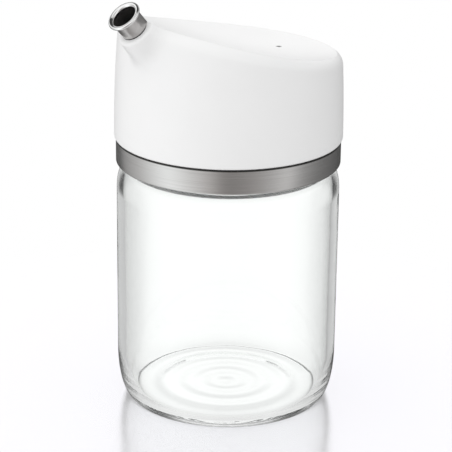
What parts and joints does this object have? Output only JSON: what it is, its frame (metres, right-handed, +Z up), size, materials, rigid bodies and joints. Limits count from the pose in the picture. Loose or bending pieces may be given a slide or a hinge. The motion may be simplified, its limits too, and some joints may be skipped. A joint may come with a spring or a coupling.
{
  "type": "oil dispenser",
  "caption": "Clear glass oil dispenser with a steel collar ring, a sloping hollow screw lid and a flared steel pouring spout.",
  "frame": {"origin": "centre of the jar's foot, on the surface that it stands on", "axes": "+Z up along the jar's axis, the spout leans out over -X, and the XZ plane is the plane of symmetry"},
  "size_m": [0.0938, 0.0832, 0.1557],
  "materials": {
    "clear_glass": "clear polished glass",
    "steel": "fine brushed stainless steel, polished at the pouring lip",
    "white_plastic": "white moulded plastic, satin",
    "silicone": "translucent grey-white silicone"
  },
  "bodies": {
    "root": {"jar": "clear_glass", "collar_ring": "steel", "lid_shell": "white_plastic", "lid_insert": "white_plastic", "seal": "silicone", "spout_tube": "steel"}
  },
  "joints": []
}
